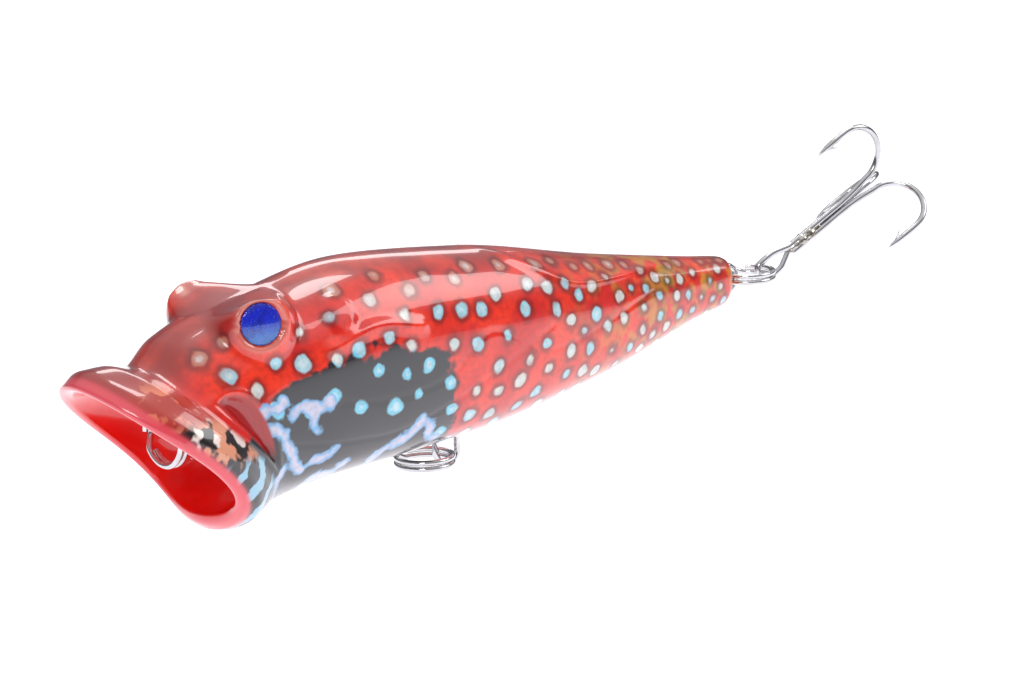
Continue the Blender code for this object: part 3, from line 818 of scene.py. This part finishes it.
def bend_wire(name, lines, radius, material, sides=16):
    """Sweeps wire along drawn lines: each is a list of points and a girth for every point."""
    points = []
    girths = []
    edges = []
    for line, girth_along in lines:
        start = len(points)
        points.extend(place(line).tolist())
        girths.extend(girth_along)
        edges.extend((start + i, start + i + 1) for i in range(len(line) - 1))
    drawn = bpy.data.meshes.new(name + "_line")
    drawn.from_pydata(points, edges, [])
    drawn.attributes.new("girth", "FLOAT", "POINT").data.foreach_set("value", girths)
    holder = bpy.data.objects.new(name + "_line", drawn)
    scene.collection.objects.link(holder)
    modifier = holder.modifiers.new("wire", "NODES")
    modifier.node_group = WIRE_TREE
    values = {"Wire Radius": radius * MM, "Sides": sides, "Finish": material}
    for item in WIRE_TREE.interface.items_tree:
        if item.in_out == "INPUT" and item.name in values:
            modifier[item.identifier] = values[item.name]
    graph = bpy.context.evaluated_depsgraph_get()
    mesh = bpy.data.meshes.new_from_object(holder.evaluated_get(graph))
    mesh.name = name
    bpy.data.objects.remove(holder)
    bm = bmesh.new()
    bm.from_mesh(mesh)
    bmesh.ops.recalc_face_normals(bm, faces=bm.faces)
    bm.to_mesh(mesh)
    bm.free()
    return mesh


print("wire tree has", len(WIRE_TREE.nodes), "nodes")

# %% [markdown]
# The wire is nickel-plated steel. Real plating is bright but never perfect: fine drawing marks run
# along it, and handling leaves a faint cloudiness that changes the gloss from place to place.

# %% Nickel finishes
def nickel(name, tint, low, high):
    plate = Finish(name, Metallic=1.0)
    cloudy = plate.noise(600.0, 3.0)
    marks = plate.noise(9000.0, 2.0)
    dulled = (tint[0] * 0.86, tint[1] * 0.84, tint[2] * 0.80, 1.0)
    warm = plate.blend(plate.span(cloudy, 0.35, 0.7), tint, dulled)
    plate.wear("Base Color", warm)
    inputs = {"Value": cloudy, "To Min": low, "To Max": high}
    plate.wear("Roughness", plate.add("ShaderNodeMapRange", inputs))
    plate.wear("Normal", plate.bump(marks, 0.10, 0.00003))
    return plate.material


wire_nickel = nickel("nickel_wire", (0.68, 0.68, 0.70, 1.0), 0.06, 0.16)
hook_nickel = nickel("nickel_hook", (0.62, 0.62, 0.65, 1.0), 0.07, 0.18)
print("nickel finishes made")

# %% [markdown]
# ## Eyelets and split rings
# Each eyelet is a U of wire moulded into the body, with its feet bent outwards to hold. A split
# ring is two coils of wire that step across from one level to the next, so that a hook can be
# wound on between them.

# %% Eyelets
STAPLE_RADIUS = 1.6


def staple_line(eye, outward, leg, foot):
    """Foot, leg, round the eye, leg, foot, in the middle plane."""
    outward = np.array(outward, dtype=float)
    across = np.cross((0.0, 1.0, 0.0), outward)
    corner = 0.9
    side = [(-leg, STAPLE_RADIUS + foot)]
    for angle in np.radians(np.linspace(0.0, 90.0, 9)):
        side.append((-leg + corner * (1.0 - math.cos(angle)),
                     STAPLE_RADIUS + corner * (1.0 - math.sin(angle))))
    side.append((-leg * 0.5, STAPLE_RADIUS))
    for angle in np.radians(np.linspace(90.0, 0.0, 17)):
        side.append((STAPLE_RADIUS * math.cos(angle), STAPLE_RADIUS * math.sin(angle)))
    side += [(a, -b) for a, b in reversed(side[:-1])]
    return [eye + outward * a + across * b for a, b in side]


EYELETS = {
    "line_tie_wire": (LINE_TIE, (-1.0, 0.0, 0.0), 13.0, 1.5),
    "belly_hanger_wire": (np.array([51.3, 0.0, -12.3]), (0.0, 0.0, -1.0), 7.4, 1.0),
    "tail_hanger_wire": (np.array([97.1, 0.0, 0.6]), (1.0, 0.0, 0.0), 10.6, 1.0),
}
for name, drawing in EYELETS.items():
    line = staple_line(*drawing)
    mesh = bend_wire(name + "_bent", [(line, [1.0] * len(line))], 0.42, wire_nickel)
    add_piece(name + "_bent", mesh, wire_nickel, "lure_body", "nickel_wire", name)

# %% Split rings
RING_RADIUS = 3.3
RING_PITCH = 0.74
RING_JOG = math.radians(40.0)
NOSE_HINGE = np.array([12.2, 0.0, 0.42])
BELLY_HINGE = np.array([51.3, 0.0, -12.68])
TAIL_HINGE = np.array([97.5, 0.0, 0.6])


def ring_line(hinge, hang, turns=150):
    """Two coils about a centre that hangs from the hinge."""
    first = np.array(hang, dtype=float)
    second = np.array([0.0, 1.0, 0.0])
    axis = np.cross(first, second)
    centre = hinge + first * RING_RADIUS
    angle = np.linspace(0.0, 4.0 * math.pi - RING_JOG, turns)
    level = RING_PITCH * (smooth_step((angle - 2.0 * math.pi + RING_JOG) / RING_JOG) - 0.5)
    turn = (angle + math.pi * 0.5)[:, None]
    spot = first * np.cos(turn) + second * np.sin(turn)
    return centre + spot * RING_RADIUS + axis * level[:, None]


RINGS = {
    "nose_split_ring": (NOSE_HINGE, (0.0, 0.0, -1.0), "nose_ring"),
    "belly_split_ring": (BELLY_HINGE, (-1.0, 0.0, 0.0), "belly_ring"),
    "tail_split_ring": (TAIL_HINGE, (1.0, 0.0, 0.0), "tail_ring"),
}
for name, (hinge, hang, carrier) in RINGS.items():
    line = ring_line(hinge, hang)
    mesh = bend_wire(name + "_coiled", [(line, [1.0] * len(line))], 0.33, wire_nickel)
    add_piece(name + "_coiled", mesh, wire_nickel, carrier, "nickel_wire", name)

# %% [markdown]
# ## The treble
# A treble is one double hook, whose wire is also the eye, and one single hook brazed between its
# shanks. The wires thin to a needle behind the point, where a small barb is cut and lifted.

# %% Hook drawing
TREBLE_HINGE = TAIL_HINGE + np.array([2.0 * RING_RADIUS, 0.0, 0.0])
SHANK = np.array([0.851, -0.171, 0.497])
SHANK /= np.linalg.norm(SHANK)
HOOK_TURNS = (-35.8, 84.2, 204.2)
HOOK_WIRE = 0.40
NECK = 3.7
CROTCH = 13.5
SHANK_SPREAD = 0.50
BEND_RADIUS = 3.75
BEND_AT = (18.0, 4.75)

upright = np.array([0.0, 0.0, 1.0]) - SHANK * SHANK[2]
upright /= np.linalg.norm(upright)
sideways = np.cross(SHANK, upright)


def radial(turn):
    angle = math.radians(turn + 43.0)
    return upright * math.cos(angle) + sideways * math.sin(angle)


def on_hook(flat, turn):
    """Points given as (along the shank, away from it), for one of the three hooks."""
    flat = np.asarray(flat, dtype=float)
    return TREBLE_HINGE + np.outer(flat[:, 0], SHANK) + np.outer(flat[:, 1], radial(turn))


def hook_flat():
    path = [(NECK + 0.6, SHANK_SPREAD), (7.0, SHANK_SPREAD), (10.5, SHANK_SPREAD)]
    path += [(CROTCH, SHANK_SPREAD), (CROTCH + 2.4, 0.68)]
    for angle in np.radians(np.linspace(-90.0, 90.0, 13)):
        path.append((BEND_AT[0] + BEND_RADIUS * math.cos(angle),
                     BEND_AT[1] + BEND_RADIUS * math.sin(angle)))
    path += [(16.6, 8.52), (15.4, 8.50), (14.4, 8.46), (13.2, 8.38)]
    return flowing(path, 5)


def taper(flat):
    """Full girth until the last millimetres, then down to the needle."""
    steps = np.linalg.norm(np.diff(flat, axis=0), axis=1)
    left = np.concatenate((np.cumsum(steps[::-1])[::-1], [0.0]))
    return np.interp(left, (0.0, 0.6, 1.6, 2.6), (0.08, 0.50, 0.88, 1.0))


def barb(turn):
    """A short spike that rises from the inner side of the wire, pointing back to the bend."""
    flat = [(14.7, 8.42), (15.5, 7.95), (16.4, 7.35)]
    return on_hook(flowing(flat, 3), turn), np.linspace(0.72, 0.08, 7)


flat_hook = hook_flat()
hook_girth = taper(flat_hook)
print("hook wire is", round(float(np.linalg.norm(np.diff(flat_hook, axis=0), axis=1).sum()), 1), "mm long")

# %% Bend the hooks
TREBLE_EYE = 1.31
lift = np.cross((0.0, 1.0, 0.0), SHANK)
lift /= np.linalg.norm(lift)
if lift @ radial(HOOK_TURNS[0]) < 0.0:
    lift = -lift
eye_turn = np.radians(np.linspace(90.0, -90.0, 25))[:, None]
eye_line = TREBLE_HINGE + (-SHANK * np.cos(eye_turn) + lift * np.sin(eye_turn)) * TREBLE_EYE
cheek = np.array([(2.3, 1.16), (1.7, 1.29), (0.8, 1.31)])
upper_cheek = TREBLE_HINGE + np.outer(cheek[:, 0], SHANK) + np.outer(cheek[:, 1], lift)
lower_cheek = TREBLE_HINGE + np.outer(cheek[::-1, 0], SHANK) - np.outer(cheek[::-1, 1], lift)
eye_line = np.vstack((upper_cheek, eye_line, lower_cheek))
upper = on_hook(flat_hook, HOOK_TURNS[0])
lower = on_hook(flat_hook, HOOK_TURNS[2])
double = np.vstack((upper[::-1], eye_line, lower))
double_girth = np.concatenate((hook_girth[::-1], np.ones(len(eye_line)), hook_girth))
lines = [(double, double_girth), barb(HOOK_TURNS[0]), barb(HOOK_TURNS[2])]
mesh = bend_wire("treble_double_hook_bent", lines, HOOK_WIRE, hook_nickel)
add_piece("treble_double_hook_bent", mesh, hook_nickel, "tail_treble", "nickel_hook", "treble_double_hook")

lines = [(on_hook(flat_hook, HOOK_TURNS[1]), hook_girth), barb(HOOK_TURNS[1])]
mesh = bend_wire("treble_single_hook_bent", lines, HOOK_WIRE, hook_nickel)
add_piece("treble_single_hook_bent", mesh, hook_nickel, "tail_treble", "nickel_hook", "treble_single_hook")

# %% [markdown]
# The braze is a lump of filler that ran between the three wires and froze. It is a turned spindle
# whose radius wobbles along and round it.

# %% Braze
braze = Finish("braze", Metallic=1.0)
braze_cloud = braze.noise(1300.0, 4.0)
braze_share = braze.span(braze_cloud, 0.4, 0.65)
braze.wear("Base Color", braze.blend(braze_share, rgb(214, 212, 206), rgb(128, 112, 92)))
braze.wear("Roughness", braze.span(braze_cloud, -0.3, 2.6))
braze.wear("Normal", braze.bump(braze_cloud, 0.5, 0.0002))

heights = np.linspace(4.0, 9.6, 34)
swell = 0.30 + 0.52 * np.sin(math.pi * (heights - 4.0) / 5.6) ** 0.6
swell += 0.05 * np.sin(heights * 4.3) + 0.03 * np.sin(heights * 9.0)
braze_profile = [(0.0, 3.9)] + list(zip(swell, heights)) + [(0.0, 9.7)]
mesh = turned_mesh("treble_braze_lump", braze_profile, TREBLE_HINGE, SHANK, 40)
add_piece("treble_braze_lump", mesh, braze.material, "tail_treble", "braze", "treble_braze")

# %% [markdown]
# ## Inside the body
# The rattle balls and casting weights don't show, but a cutaway or an X-ray view would, so they
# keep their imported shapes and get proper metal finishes.

# %% Hidden metal
def plain_metal(name, light, shade, low, high):
    metal = Finish(name, Metallic=1.0)
    cloud_ = metal.noise(700.0, 4.0)
    metal.wear("Base Color", metal.blend(metal.span(cloud_, 0.35, 0.7), light, shade))
    inputs = {"Value": cloud_, "To Min": low, "To Max": high}
    metal.wear("Roughness", metal.add("ShaderNodeMapRange", inputs))
    metal.wear("Normal", metal.bump(cloud_, 0.15, 0.0001))
    return metal.material


ball_steel = plain_metal("steel_ball", rgb(206, 208, 212), rgb(166, 168, 176), 0.08, 0.22)
cast_lead = plain_metal("weight_metal", rgb(138, 140, 146), rgb(92, 94, 100), 0.40, 0.62)
for name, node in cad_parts.items():
    if name.startswith("rattle_ball") or name.endswith("_weight"):
        steel = name.startswith("rattle_ball")
        node.data.materials.clear()
        node.data.materials.append(ball_steel if steel else cast_lead)
        print(name, "finished")

# %% [markdown]
# ## Floor and light
# A glossy coat shows what stands round it, so the lights are soft panels: one overhead, one to the
# side behind the tail, one beyond the back and one beside the camera. The room is dim near the
# horizon and steps up to a pale ceiling. The floor glows faintly, so that it stays pale under small
# lights, and lies low enough for the treble to hang free.

# %% Floor
FLOOR_DROP_M = 0.022
FLOOR_REACH_M = 6.0
lowest = float(cad_box[0].z)
floor_mesh = bpy.data.meshes.new("floor")
reach_m = FLOOR_REACH_M
floor_level = lowest - FLOOR_DROP_M
corners = [(-reach_m, -reach_m), (reach_m, -reach_m), (reach_m, reach_m), (-reach_m, reach_m)]
floor_mesh.from_pydata([(a, b, floor_level) for a, b in corners], [], [(0, 1, 2, 3)])
floor = bpy.data.objects.new("floor", floor_mesh)
scene.collection.objects.link(floor)
paper = Finish("pale_floor", Roughness=0.55, Base_Color=(0.90, 0.90, 0.94, 1.0), Emission_Strength=0.43,
               Emission_Color=(0.96, 0.96, 1.0, 1.0))
floor_mesh.materials.append(paper.material)
print("floor at", round(floor_level * 1000.0, 1), "mm")


# %% Lights
def soft_panel(name, position, width, height, watts):
    """A rectangle of light that faces the lure's middle."""
    data = bpy.data.lights.new(name, "AREA")
    data.shape = "RECTANGLE"
    data.size = width
    data.size_y = height
    data.energy = watts
    panel = bpy.data.objects.new(name, data)
    scene.collection.objects.link(panel)
    panel.location = position
    panel.rotation_euler = (Vector(AIM) - Vector(position)).to_track_quat("-Z", "Y").to_euler()
    return panel


AIM = (0.035, 0.0, 0.0)
PANELS = (                               # name, place, width, height, watts
    ("overhead_panel", (0.25, 0.15, 0.75), 0.38, 0.26, 1.8),
    ("flank_panel", (0.62, -0.42, 0.50), 0.55, 0.35, 1.9),
    ("back_panel", (0.60, 0.62, 0.42), 0.40, 0.15, 0.5),
    ("camera_panel", (-0.55, -0.50, 0.45), 0.28, 0.22, 1.4),
)
for panel_drawing in PANELS:
    soft_panel(*panel_drawing)

SKY_STOPS = (                            # height of the direction, and its light
    (0.0, (0.20, 0.20, 0.22, 1.0)),
    (0.42, (0.16, 0.16, 0.18, 1.0)),
    (0.4201, (0.3475, 0.3475, 0.362, 1.0)),
    (1.0, (1.0, 1.0, 1.0, 1.0)),
)
world = bpy.data.worlds.new("studio")
scene.world = world
world.use_nodes = True
sky = world.node_tree
direction = sky.nodes.new("ShaderNodeTexCoord")
split_sky = sky.nodes.new("ShaderNodeSeparateXYZ")
sky_ramp = sky.nodes.new("ShaderNodeValToRGB")
sky.links.new(direction.outputs["Generated"], split_sky.inputs[0])
sky.links.new(split_sky.outputs[2], sky_ramp.inputs["Fac"])
sky.links.new(sky_ramp.outputs["Color"], sky.nodes["Background"].inputs["Color"])
stops = sky_ramp.color_ramp.elements
stops[0].color = SKY_STOPS[0][1]
for height_, shade in SKY_STOPS[1:-1]:
    stops.new(height_).color = shade
stops[-1].color = SKY_STOPS[-1][1]
scene.view_settings.view_transform = "Standard"
